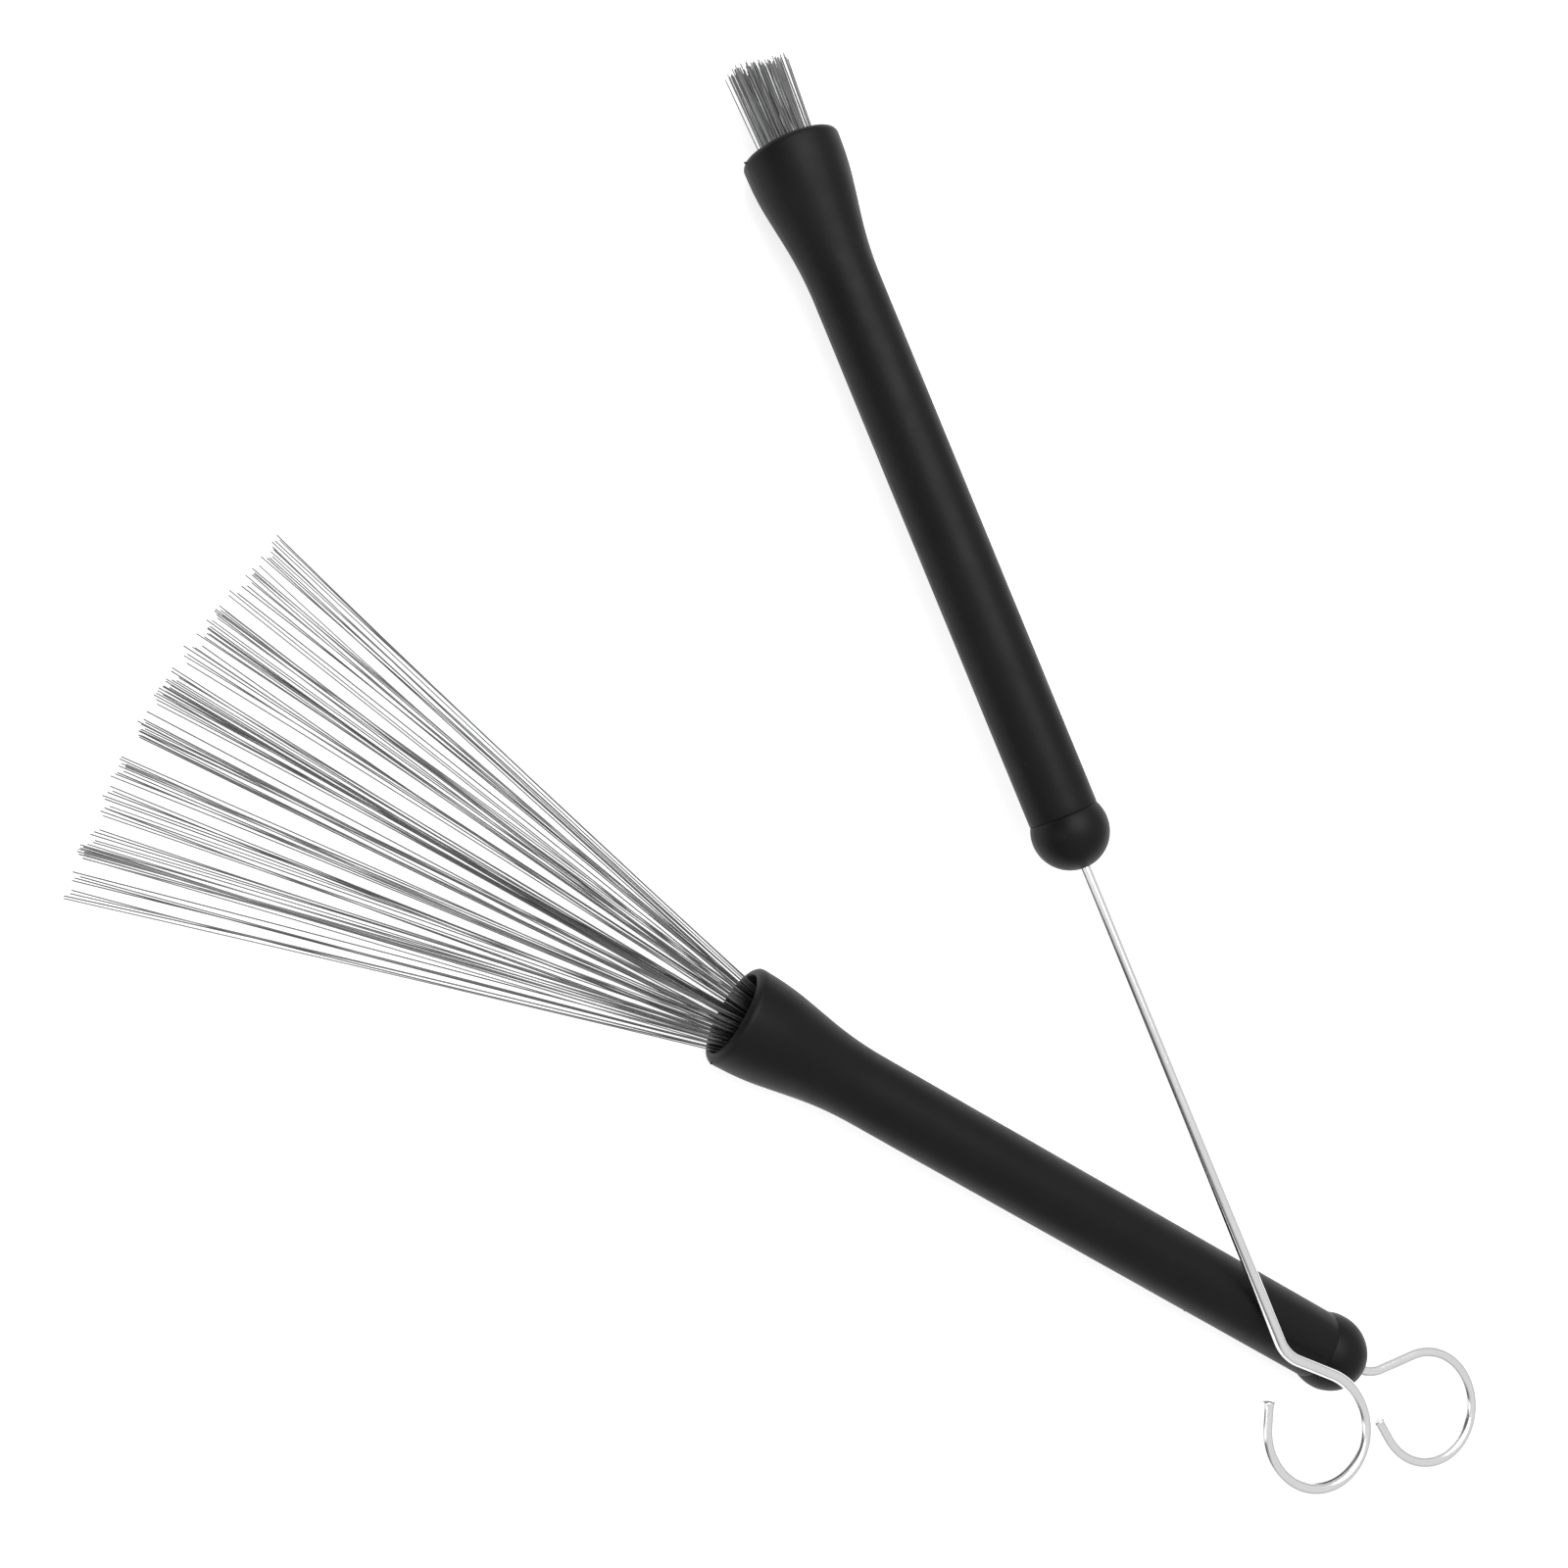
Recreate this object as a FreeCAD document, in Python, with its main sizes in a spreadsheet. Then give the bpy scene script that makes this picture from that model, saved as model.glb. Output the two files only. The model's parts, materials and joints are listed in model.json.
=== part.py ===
"""Pair of retractable wire drum brushes, one opened to a fan and one drawn in.

Every brush is modelled in its own frame: the origin is the centre of the mouth
face, +X points forward to the fan, +Y to the left and +Z up.  The plunger has a
frame of its own, whose origin is the centre of the ferrule's front face.
"""
import FreeCAD, Part
import math
import os
import Sketcher

Vector = FreeCAD.Vector
Placement = FreeCAD.Placement
Rotation = FreeCAD.Rotation
Y_AXIS = Vector(0, 1, 0)
Z_AXIS = Vector(0, 0, 1)
RING_TOLERANCE = 1e-4
SWEEP_TOLERANCE = 0.005

# alias, millimetres, degrees or count, meaning
SIZES = [
    ("head_radius", 10.75, "rubber head at the mouth"),
    ("shoulder_radius", 10.4, "head where the flare starts to fall"),
    ("grip_radius", 7.45, "straight part of the rubber grip"),
    ("shoulder_station", 8.0, "mouth face to the shoulder"),
    ("flare_station", 25.5, "mouth face to the end of the flare"),
    ("grip_length", 150.0, "mouth face to the end ball's joint"),
    ("lip_fillet", 1.6, "outer edge of the mouth"),
    ("mouth_edge_fillet", 0.35, "inner edge of the mouth"),
    ("shoulder_fillet", 60.0, "convex blend of the head"),
    ("flare_fillet", 80.0, "concave blend into the straight grip"),
    ("mouth_radius", 8.7, "widest part of the cone inside the mouth"),
    ("tube_station", 24.0, "mouth face to the front end of the tube"),
    ("tube_radius", 6.3, "outside of the aluminium tube"),
    ("tube_bore", 5.8, "inside of the aluminium tube"),
    ("tube_end_station", 157.0, "mouth face to the rear end of the tube"),
    ("ball_radius", 8.25, "rubber end ball"),
    ("ball_station", 153.75, "mouth face to the centre of the ball"),
    ("handle_length", 162.0, "mouth face to the rear of the ball"),
    ("bush_station", 148.0, "mouth face to the front of the rear bush"),
    ("rod_hole", 1.35, "radius of the sliding hole for the rod"),
    ("rod_radius", 1.25, "pull rod"),
    ("root_station", 16.0, "mouth face to the ferrule when the fan is out"),
    ("stroke", 106.5, "travel of the plunger"),
    ("ferrule_radius", 5.2, "crimp ferrule"),
    ("ferrule_length", 14.0, "crimp ferrule"),
    ("ferrule_chamfer", 0.5, "rear edge of the ferrule"),
    ("pocket_radius", 4.5, "pocket that holds the wire roots"),
    ("pocket_depth", 3.0, "pocket that holds the wire roots"),
    ("rod_front_station", 6.0, "ferrule face to the front end of the rod"),
    ("loop_radius", 11.8, "centre line of the pull loop"),
    ("loop_station", 20.0, "rear of the ball to the loop's centre, fan out"),
    ("neck_angle", 45.0, "turn of the rod into the loop"),
    ("neck_radius", 7.5, "centre line of that turn"),
    ("loop_end_angle", 60.0, "where the loop's arc stops, round its centre"),
    ("loop_tail", 5.0, "straight end of the loop"),
    ("wire_radius", 0.125, "steel wire"),
    ("wire_length", 141.0, "ferrule face to the wire tips"),
    ("wire_root", 1.5, "wire behind the ferrule face, in the pocket"),
    ("bundles", 9, "bundles of wires side by side"),
    ("rows_per_bundle", 2, "flat rows of wires in a bundle"),
    ("wires_per_row", 7, "wires in a row"),
    ("wire_pitch", 0.42, "sideways step between the wires of a row"),
    ("row_pitch", 0.38, "height between two rows"),
    ("row_shift", 0.21, "sideways step between two rows"),
    ("bundle_pitch", 0.6, "sideways step between bundle roots"),
    ("fan_step", 3.3, "angle between neighbouring bundles, fan out"),
    ("fan_lean", 1.05, "turn of the whole fan to the left"),
    ("bundle_spread", 1.6, "half angle inside a bundle"),
    ("closed_angle", 0.65, "outer bundle's turn inwards, drawn in"),
    ("brush_b_forward", 74.5, "brush B's mouth ahead of brush A's"),
    ("brush_b_right", 163.0, "brush B's mouth to the right of brush A's"),
    ("brush_b_turn", 38.6, "brush B's turn to the right of brush A"),
    ("crossing_height", 18.4, "height of brush B's rod over the crossing"),
]

doc = FreeCAD.newDocument("WireBrushes")
sheet = doc.addObject("Spreadsheet::Sheet", "Sizes")
for row, (alias, value, meaning) in enumerate(SIZES, start=1):
    sheet.set(f"A{row}", alias)
    sheet.set(f"B{row}", str(value))
    sheet.set(f"C{row}", meaning)
    sheet.setAlias(f"B{row}", alias)
doc.recompute()


def size(alias):
    """The value of one cell, for places that Python works out."""
    return float(sheet.get(alias))


def bind(item, prop, expression):
    """Tie one property to the sheet."""
    item.setExpression(prop, expression)


# ---------------------------------------------------------------- sketches

def origin_plane(body, role):
    """One of the body's own origin planes."""
    for feature in body.Origin.OriginFeatures:
        if feature.Role == role:
            return feature
    raise ValueError(role)


def new_body(label):
    """Empty body with the piece's name."""
    body = doc.addObject("PartDesign::Body", label)
    body.Label = label
    return body


def new_sketch(body, name, role):
    """Sketch on one of the body's origin planes."""
    sketch = body.newObject("Sketcher::SketchObject", f"{body.Name}_{name}")
    sketch.AttachmentSupport = [(origin_plane(body, role), "")]
    sketch.MapMode = "FlatFace"
    return sketch


def name_constraint(sketch, constraint, name, expression):
    """Add a driving constraint and tie its value to the sheet."""
    index = sketch.addConstraint(constraint)
    sketch.renameConstraint(index, name)
    bind(sketch, f"Constraints.{name}", expression)


def signed(alias):
    """Start value and expression of a coordinate written as 'alias', '-alias' or None for 0."""
    if alias is None:
        return 0.0, None
    if alias.startswith("-"):
        return -size(alias[1:]), f"-Sizes.{alias[1:]}"
    return size(alias), f"Sizes.{alias}"


def fix_point(sketch, geometry, point, corner, name):
    """Hold one end of a line at (x, radius); None puts it on an axis."""
    for kind, axis, alias in (("DistanceX", -2, corner[0]), ("DistanceY", -1, corner[1])):
        value, expression = signed(alias)
        if expression is None:
            sketch.addConstraint(Sketcher.Constraint("PointOnObject", geometry, point, axis))
            continue
        constraint = Sketcher.Constraint(kind, -1, 1, geometry, point, value)
        name_constraint(sketch, constraint, f"{name}_{kind[-1].lower()}", expression)


def half_section(body, corners):
    """Closed outline above the X axis; each corner is (x, radius) in sheet aliases."""
    sketch = new_sketch(body, "half_section", "XY_Plane")
    points = [Vector(signed(x)[0], signed(radius)[0], 0) for x, radius in corners]
    count = len(points)
    for index in range(count):
        sketch.addGeometry(Part.LineSegment(points[index], points[(index + 1) % count]), False)
    for index in range(count):
        sketch.addConstraint(Sketcher.Constraint("Coincident", index, 2, (index + 1) % count, 1))
    for index, corner in enumerate(corners):
        fix_point(sketch, index, 1, corner, f"corner_{index}")
    return sketch


def turned(body, sketch):
    """Turn a half section about the brush's axis."""
    turn = body.newObject("PartDesign::Revolution", f"{body.Name}_turned")
    turn.Profile = sketch
    turn.ReferenceAxis = (sketch, ["H_Axis"])
    turn.Angle = 360.0
    doc.recompute()
    return turn


def ring_edges(shape, x, radius):
    """Names of the round edges at station x with the given radius."""
    names = []
    for number, edge in enumerate(shape.Edges, start=1):
        curve = edge.Curve
        if curve.TypeId != "Part::GeomCircle":
            continue
        off_station = abs(curve.Center.x - x) > RING_TOLERANCE
        off_radius = abs(curve.Radius - radius) > RING_TOLERANCE
        if not off_station and not off_radius:
            names.append(f"Edge{number}")
    return names


def round_edge(body, kind, prop, x, radius, alias):
    """Fillet or chamfer the ring at (x, radius) of the body's last feature."""
    base = body.Tip
    edges = ring_edges(base.Shape, x, radius)
    if not edges:
        raise ValueError(f"{body.Name}: no ring at {x}, {radius}")
    dressed = body.newObject(f"PartDesign::{kind}", f"{body.Name}_{alias}")
    dressed.Base = (base, edges)
    bind(dressed, prop, f"Sizes.{alias}")
    doc.recompute()


# ---------------------------------------------------------------- handle

def make_grip(label):
    """Rubber sleeve: flared head, coned mouth and a bore for the tube."""
    body = new_body(label)
    outline = half_section(body, [
        (None, "mouth_radius"),
        (None, "head_radius"),
        ("-shoulder_station", "shoulder_radius"),
        ("-flare_station", "grip_radius"),
        ("-grip_length", "grip_radius"),
        ("-grip_length", "tube_radius"),
        ("-tube_station", "tube_radius"),
        ("-tube_station", "tube_bore"),
    ])
    turned(body, outline)
    for station, radius, fillet in (
        (-size("shoulder_station"), size("shoulder_radius"), "shoulder_fillet"),
        (-size("flare_station"), size("grip_radius"), "flare_fillet"),
        (0.0, size("head_radius"), "lip_fillet"),
        (0.0, size("mouth_radius"), "mouth_edge_fillet"),
    ):
        round_edge(body, "Fillet", "Radius", station, radius, fillet)
    return body


def make_end_ball(label):
    """Rubber ball over the tube's rear end, with a socket for the tube and the rod's hole."""
    body = new_body(label)
    sketch = new_sketch(body, "half_section", "XY_Plane")
    centre = Vector(-size("ball_station"), 0, 0)
    radius = size("ball_radius")
    joint_angle = math.acos((size("ball_station") - size("grip_length")) / radius)
    hole_angle = math.pi - math.asin(size("rod_hole") / radius)
    joint_x = -size("grip_length")
    floor_x = -size("tube_end_station")
    joint_rim = centre + Vector(math.cos(joint_angle), math.sin(joint_angle), 0) * radius
    hole_rim = centre + Vector(math.cos(hole_angle), math.sin(hole_angle), 0) * radius
    socket_rim = Vector(joint_x, size("tube_radius"), 0)
    socket_floor = Vector(floor_x, size("tube_radius"), 0)
    hole_floor = Vector(floor_x, size("rod_hole"), 0)
    sketch.addGeometry([
        Part.LineSegment(socket_rim, joint_rim),
        Part.ArcOfCircle(Part.Circle(centre, Z_AXIS, radius), joint_angle, hole_angle),
        Part.LineSegment(hole_rim, hole_floor),
        Part.LineSegment(hole_floor, socket_floor),
        Part.LineSegment(socket_floor, socket_rim),
    ], False)
    for index in range(5):
        sketch.addConstraint(Sketcher.Constraint("Coincident", index, 2, (index + 1) % 5, 1))
    sketch.addConstraint(Sketcher.Constraint("Vertical", 0))
    sketch.addConstraint(Sketcher.Constraint("Horizontal", 2))
    fix_point(sketch, 0, 1, ("-grip_length", "tube_radius"), "socket_rim")
    fix_point(sketch, 3, 1, ("-tube_end_station", "rod_hole"), "hole_floor")
    fix_point(sketch, 4, 1, ("-tube_end_station", "tube_radius"), "socket_floor")
    fix_point(sketch, 1, 3, ("-ball_station", None), "centre")
    name_constraint(sketch, Sketcher.Constraint("Radius", 1, radius), "ball", "Sizes.ball_radius")
    turned(body, sketch)
    return body


def make_tube(label):
    """Thin aluminium tube: two circles padded from its rear end forwards."""
    body = new_body(label)
    sketch = new_sketch(body, "section", "YZ_Plane")
    for index, alias in enumerate(("tube_radius", "tube_bore")):
        sketch.addGeometry(Part.Circle(Vector(0, 0, 0), Z_AXIS, size(alias)), False)
        sketch.addConstraint(Sketcher.Constraint("Coincident", index, 3, -1, 1))
        circle = Sketcher.Constraint("Radius", index, size(alias))
        name_constraint(sketch, circle, alias, f"Sizes.{alias}")
    bind(sketch, "AttachmentOffset.Base.z", "-Sizes.tube_end_station")
    pad = body.newObject("PartDesign::Pad", f"{label}_pad")
    pad.Profile = sketch
    bind(pad, "Length", "Sizes.tube_end_station - Sizes.tube_station")
    doc.recompute()
    return body


def make_rear_bush(label):
    """Plastic bush pressed into the tube's rear end; the rod slides in it."""
    body = new_body(label)
    turned(body, half_section(body, [
        ("-bush_station", "rod_hole"),
        ("-bush_station", "tube_bore"),
        ("-tube_end_station", "tube_bore"),
        ("-tube_end_station", "rod_hole"),
    ]))
    return body


# ---------------------------------------------------------------- plunger

def make_ferrule(label):
    """Crimp ferrule: wire pocket in front, the rod's socket behind."""
    body = new_body(label)
    turned(body, half_section(body, [
        (None, "pocket_radius"),
        (None, "ferrule_radius"),
        ("-ferrule_length", "ferrule_radius"),
        ("-ferrule_length", "rod_radius"),
        ("-rod_front_station", "rod_radius"),
        ("-rod_front_station", None),
        ("-pocket_depth", None),
        ("-pocket_depth", "pocket_radius"),
    ]))
    rear = -size("ferrule_length")
    round_edge(body, "Chamfer", "Size", rear, size("ferrule_radius"), "ferrule_chamfer")
    return body


def loop_centre_x():
    """Loop's centre behind the ferrule face, the same in every position."""
    return -(size("handle_length") + size("loop_station") - size("root_station"))


def make_pull_rod(label):
    """Round rod swept along its centre line: straight, neck, loop and tail."""
    body = new_body(label)
    turn = math.radians(size("neck_angle"))
    stop = math.radians(size("loop_end_angle"))
    loop = size("loop_radius")
    neck = size("neck_radius")
    centre = Vector(loop_centre_x(), 0, 0)
    bend_x = centre.x + loop / math.sin(turn) + neck * math.tan(turn / 2)
    neck_start = Vector(bend_x - neck * math.sin(turn), -neck * (1 - math.cos(turn)), 0)
    neck_end = centre + Vector(math.sin(turn), -math.cos(turn), 0) * loop
    tail_start = centre + Vector(math.cos(stop), math.sin(stop), 0) * loop
    tail_end = tail_start + Vector(math.sin(stop), -math.cos(stop), 0) * size("loop_tail")
    rod_front = Vector(-size("rod_front_station"), 0, 0)
    neck_circle = Part.Circle(Vector(bend_x, -neck, 0), Z_AXIS, neck)
    loop_circle = Part.Circle(centre, Z_AXIS, loop)

    path = new_sketch(body, "centre_line", "XY_Plane")
    path.addGeometry([
        Part.LineSegment(rod_front, Vector(bend_x, 0, 0)),
        Part.ArcOfCircle(neck_circle, math.pi / 2, math.pi / 2 + turn),
        Part.LineSegment(neck_start, neck_end),
        Part.ArcOfCircle(loop_circle, stop, 1.5 * math.pi + turn),
        Part.LineSegment(tail_start, tail_end),
    ], False)
    path.addConstraint([
        Sketcher.Constraint("PointOnObject", 0, 1, -1),
        Sketcher.Constraint("PointOnObject", 0, 2, -1),
        Sketcher.Constraint("PointOnObject", 3, 3, -1),
        Sketcher.Constraint("Tangent", 0, 2, 1, 1),
        Sketcher.Constraint("Tangent", 1, 2, 2, 1),
        Sketcher.Constraint("Tangent", 2, 2, 3, 2),
        Sketcher.Constraint("Tangent", 3, 1, 4, 1),
    ])
    named = [
        ("front", ("DistanceX", -1, 1, 0, 1, rod_front.x), "-Sizes.rod_front_station"),
        ("neck_radius", ("Radius", 1, neck), "Sizes.neck_radius"),
        ("loop_radius", ("Radius", 3, loop), "Sizes.loop_radius"),
        ("loop_centre", ("DistanceX", -1, 1, 3, 3, centre.x),
         "Sizes.root_station - Sizes.handle_length - Sizes.loop_station"),
        ("neck_angle", ("Angle", 2, turn - math.pi), "(Sizes.neck_angle - 180) * 1 deg"),
        ("tail_angle", ("Angle", 4, stop - math.pi / 2), "(Sizes.loop_end_angle - 90) * 1 deg"),
        ("tail", ("Distance", 4, size("loop_tail")), "Sizes.loop_tail"),
    ]
    for name, terms, expression in named:
        name_constraint(path, Sketcher.Constraint(*terms), name, expression)

    section = new_sketch(body, "section", "YZ_Plane")
    section.addGeometry(Part.Circle(Vector(0, 0, 0), Z_AXIS, size("rod_radius")), False)
    section.addConstraint(Sketcher.Constraint("Coincident", 0, 3, -1, 1))
    rod_circle = Sketcher.Constraint("Radius", 0, size("rod_radius"))
    name_constraint(section, rod_circle, "rod", "Sizes.rod_radius")
    bind(section, "AttachmentOffset.Base.z", "-Sizes.rod_front_station")
    doc.recompute()

    sweep = body.newObject("PartDesign::AdditivePipe", f"{label}_sweep")
    sweep.Profile = section
    sweep.Spine = (path, ["Edge1", "Edge2", "Edge3", "Edge4", "Edge5"])
    doc.recompute()
    length = sum(edge.Length for edge in path.Shape.Edges)
    expected = math.pi * size("rod_radius") ** 2 * length
    if abs(sweep.Shape.Volume / expected - 1) > SWEEP_TOLERANCE:
        raise ValueError(f"{label}: sweep volume {sweep.Shape.Volume:.1f}, expected {expected:.1f}")
    return body


# ---------------------------------------------------------------- wires

def make_wire_bundle(label):
    """One bundle: rows of straight wires that spread a little sideways."""
    wires = []
    rows = int(size("rows_per_bundle"))
    per_row = int(size("wires_per_row"))
    middle = (per_row - 1) / 2
    for row in range(rows):
        rank = row - (rows - 1) / 2
        for place in range(per_row):
            side = (place - middle) / middle
            turn = Rotation(Z_AXIS, side * size("bundle_spread"))
            across = (place - middle) * size("wire_pitch") + rank * size("row_shift")
            root = Vector(0, across, rank * size("row_pitch"))
            behind = turn.multVec(Vector(-size("wire_root"), 0, 0))
            wire = doc.addObject("Part::Cylinder", f"{label}_wire")
            bind(wire, "Radius", "Sizes.wire_radius")
            bind(wire, "Height", "Sizes.wire_length + Sizes.wire_root")
            wire.Placement = Placement(root + behind, turn * Rotation(Y_AXIS, 90))
            wires.append(wire)
    bundle = doc.addObject("Part::Compound", label)
    bundle.Label = label
    bundle.Links = wires
    doc.recompute()
    return bundle


def bundle_numbers():
    """Bundle positions from right to left, 0 in the middle."""
    half = (int(size("bundles")) - 1) // 2
    return range(-half, half + 1)


def bundle_levels():
    """Height of each bundle: the outer ones lie mid-way up, the inner ones high and low.

    Each bundle has a level of its own, so bundles pass over each other freely.
    """
    half = max(bundle_numbers())
    order = []
    for reach in range(half, 0, -1):
        side = 1 if (half - reach) % 2 == 0 else -1
        order += [side * reach, -side * reach]
    order.append(0)
    step = size("rows_per_bundle") * size("row_pitch")
    levels = {}
    for rank, number in enumerate(order):
        upwards = 1 if rank % 2 else -1
        levels[number] = upwards * step * ((rank + 1) // 2)
    return levels


def bundle_angle(number, drawn_in):
    """Direction of a bundle in the plunger's frame, degrees to the left."""
    if drawn_in:
        return -size("closed_angle") * number / max(bundle_numbers())
    return size("fan_lean") + size("fan_step") * number


# ---------------------------------------------------------------- the pair

def brush_a_frame():
    """Brush A lies on its head's rim and on its end ball."""
    rim = size("lip_fillet")
    rise = math.asin((size("head_radius") - size("ball_radius")) / (size("ball_station") - rim))
    height = size("head_radius") + rim * math.sin(rise)
    return Placement(Vector(0, 0, height), Rotation(Y_AXIS, -math.degrees(rise)))


def brush_b_frame():
    """Brush B lies on its head's rim, with its rod over brush A's handle."""
    rim = size("lip_fillet")
    crossing = size("brush_b_right") / math.sin(math.radians(size("brush_b_turn")))
    reach = crossing - rim
    fall = math.asin((size("crossing_height") - size("head_radius")) / reach)
    height = size("head_radius") - rim * math.sin(fall)
    place = Vector(size("brush_b_forward"), -size("brush_b_right"), height)
    heading = Rotation(Z_AXIS, -size("brush_b_turn"))
    return Placement(place, heading * Rotation(Y_AXIS, math.degrees(fall)))


def plunger_frame(brush, drawn_in):
    """Frame of the ferrule's front face."""
    back = size("root_station") + (size("stroke") if drawn_in else 0.0)
    return brush * Placement(Vector(-back, 0, 0), Rotation())


def bundle_frame(plunger, number, drawn_in):
    """Frame of a bundle; its origin is the hinge point of its roots."""
    root = Vector(0, number * size("bundle_pitch"), bundle_levels()[number])
    return plunger * Placement(root, Rotation(Z_AXIS, bundle_angle(number, drawn_in)))


def make_brush(letter, brush, drawn_in):
    """All pieces of one brush, with the frame that each belongs in."""
    prefix = f"brush_{letter}"
    plunger = plunger_frame(brush, drawn_in)
    pieces = [
        (make_grip(f"{prefix}_grip"), brush),
        (make_end_ball(f"{prefix}_end_ball"), brush),
        (make_tube(f"{prefix}_tube"), brush),
        (make_rear_bush(f"{prefix}_rear_bush"), brush),
        (make_ferrule(f"{prefix}_ferrule"), plunger),
        (make_pull_rod(f"{prefix}_pull_rod"), plunger),
    ]
    for order, number in enumerate(bundle_numbers(), start=1):
        bundle = make_wire_bundle(f"{prefix}_wires_{order}")
        pieces.append((bundle, bundle_frame(plunger, number, drawn_in)))
    return pieces


def place_on_origin(pieces):
    """Set every Placement so that the pair stands centred on the origin."""
    box = FreeCAD.BoundBox()
    for piece, frame in pieces:
        placed = piece.Shape.copy()
        placed.Placement = frame
        box.add(placed.optimalBoundingBox(False, False))
    shift = Placement(Vector(-box.Center.x, -box.Center.y, -box.ZMin), Rotation())
    for piece, frame in pieces:
        piece.Placement = shift * frame
    return shift, box


def check_document():
    """Stop if any feature failed to rebuild."""
    for item in doc.Objects:
        if "Invalid" in item.State or "Error" in item.State:
            raise RuntimeError(f"{item.Name}: {item.State}")


def write_parts(pieces):
    """One STEP file for each piece."""
    os.makedirs("parts", exist_ok=True)
    for piece, _frame in pieces:
        shape = piece.Shape
        if shape.isNull() or not shape.isValid():
            raise RuntimeError(f"{piece.Label}: bad shape")
        shape.exportStep(f"parts/{piece.Label}.step")


PIECES = make_brush("a", brush_a_frame(), False) + make_brush("b", brush_b_frame(), True)
SHIFT, BOX = place_on_origin(PIECES)
doc.recompute()
check_document()
write_parts(PIECES)
print(f"{len(PIECES)} pieces, {BOX.XLength:.1f} x {BOX.YLength:.1f} x {BOX.ZLength:.1f} mm")
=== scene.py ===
"""Looks of a pair of retractable wire drum brushes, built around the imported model.

Each brush has its own axes, taken from its joints: X forward to the fan, Y to the
left and Z up.  Lengths named here are in millimetres and are turned into metres
when a mesh is written.
"""
import json
import math
import random
import bmesh
import bpy
from mathutils import Matrix, Vector, noise


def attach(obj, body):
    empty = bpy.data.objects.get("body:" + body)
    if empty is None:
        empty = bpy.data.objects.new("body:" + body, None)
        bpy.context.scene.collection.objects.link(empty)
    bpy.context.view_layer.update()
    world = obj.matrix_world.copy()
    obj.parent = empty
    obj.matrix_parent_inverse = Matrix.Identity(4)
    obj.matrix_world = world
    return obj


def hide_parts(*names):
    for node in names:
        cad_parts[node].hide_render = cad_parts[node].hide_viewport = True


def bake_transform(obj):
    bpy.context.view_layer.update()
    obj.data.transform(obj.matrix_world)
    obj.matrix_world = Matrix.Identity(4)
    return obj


MM = 0.001
LETTERS = ("a", "b")
STATION_SLACK = 0.05
BUNDLES = range(1, 10)
WIRES_PER_ROW = 7
ROWS_PER_BUNDLE = 2

# rubber grip and ball, in millimetres
SHOULDER = (8.0, 10.4)
FLARE_END = 25.5
LIP_ROUND = 1.6
MOUTH_ROUND = 0.35
SHOULDER_ROUND = 60.0
FLARE_ROUND = 80.0
JOINT_ROUND = 0.12
MOUTH_RADIUS = 8.7
TUBE_STATION = 24.0
TUBE_RADIUS = 6.3
TUBE_BORE = 5.8
TUBE_END = 157.0
ROD_HOLE = 1.35
HOLE_ROUND = 0.35
# depth and width of the soft edge between the ball and the rod's hole
HOLE_EDGE = Vector((0.06, 0.1))
GRIP_RING_STEP = 2.0
ARC_STEP = 0.25
FEWEST_ARC_STEPS = 4
MOST_ARC_STEPS = 24
BALL_ARC_STEPS = 44
GRIP_SIDES = 120
# angles beside the parting line, in radians
PARTING_ANGLES = (-0.09, -0.045, 0.0, 0.045, 0.09)
# waves and the parting line are left out on surfaces less than this far outside the tube
OUTER_MARGIN = 0.5
RUBBER_WAVES = 0.025
# noise scale for each millimetre along the grip and round it
WAVES_ALONG = 0.06
WAVES_ROUND = 0.3
PARTING_HEIGHT = 0.05
PARTING_WIDTH = 0.3
NIBS = {
    "a": ((0.9, 1, 0.30), (62.0, 1, 0.22), (118.0, 1, 0.34), (92.0, -1, 0.2), (150.2, -1, 0.3)),
    "b": ((0.7, 1, 0.42), (0.8, -1, 0.38), (112.0, -1, 0.32), (38.0, 1, 0.2)),
}

NIB_SIDES = 8
NIB_INSET = 0.15
# share of the nib's height and its half width there
NIB_SHAPE = ((-0.25, 0.3), (0.0, 0.28), (0.45, 0.2), (0.85, 0.12), (1.0, 0.04))
NIB_LEAN = 0.1
NIB_FLATNESS = 0.6

# pull rod
NECK_TURN = 45.0
NECK_RADIUS = 7.5
ROD_FRONT = 6.0
LOOP_STOP = 60.0
LOOP_TAIL = 5.0
ROD_SIDES = 40
BEND_STEP = 3.0
STRAIGHT_STEP = 4.0
TAIL_STEP = 0.8
SHORTEST_STEP = 0.05
CUT_MARGIN = 0.2
# distance from the cut end and share of the rod's radius
CUT_END = ((1.6, 1.0), (1.1, 1.01), (0.6, 1.06), (0.28, 1.11), (0.1, 1.09), (0.0, 0.97))
CUT_FACE = ((0.02, 0.86), (-0.1, 0.62), (-0.12, 0.3))

# wires
WIRE_RADIUS = 0.125
WIRE_LENGTH = 141.0
WIRE_ROOT = 1.5
WIRE_PITCH = 0.42
ROW_PITCH = 0.38
WIRE_SIDES = 7
WIRE_STEPS = 22
TIP_DEPTH = 1.0
# random share of the bend of each wire, in degrees
FAN_STRAY = 0.05
STUB_STRAY = 0.12
WIRE_RISE = 0.55
HIGHEST_WIRE = 3.3
LARGEST_TURN = 2.2
# the bundles that lie this far up or down have less width left to them in the tube
OUTER_LEVEL = 2.9
OUTER_LEVEL_TURN = 1.0
TUBE_SHARE = 0.7
FLARE_POWER = 1.5
PINCH = 0.2
WIRE_BOW = 0.6
FAN_STAGGER = 1.2
FAN_RAGGED = 2.4
STUB_STAGGER = 0.2
STUB_RAGGED = 0.7
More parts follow.
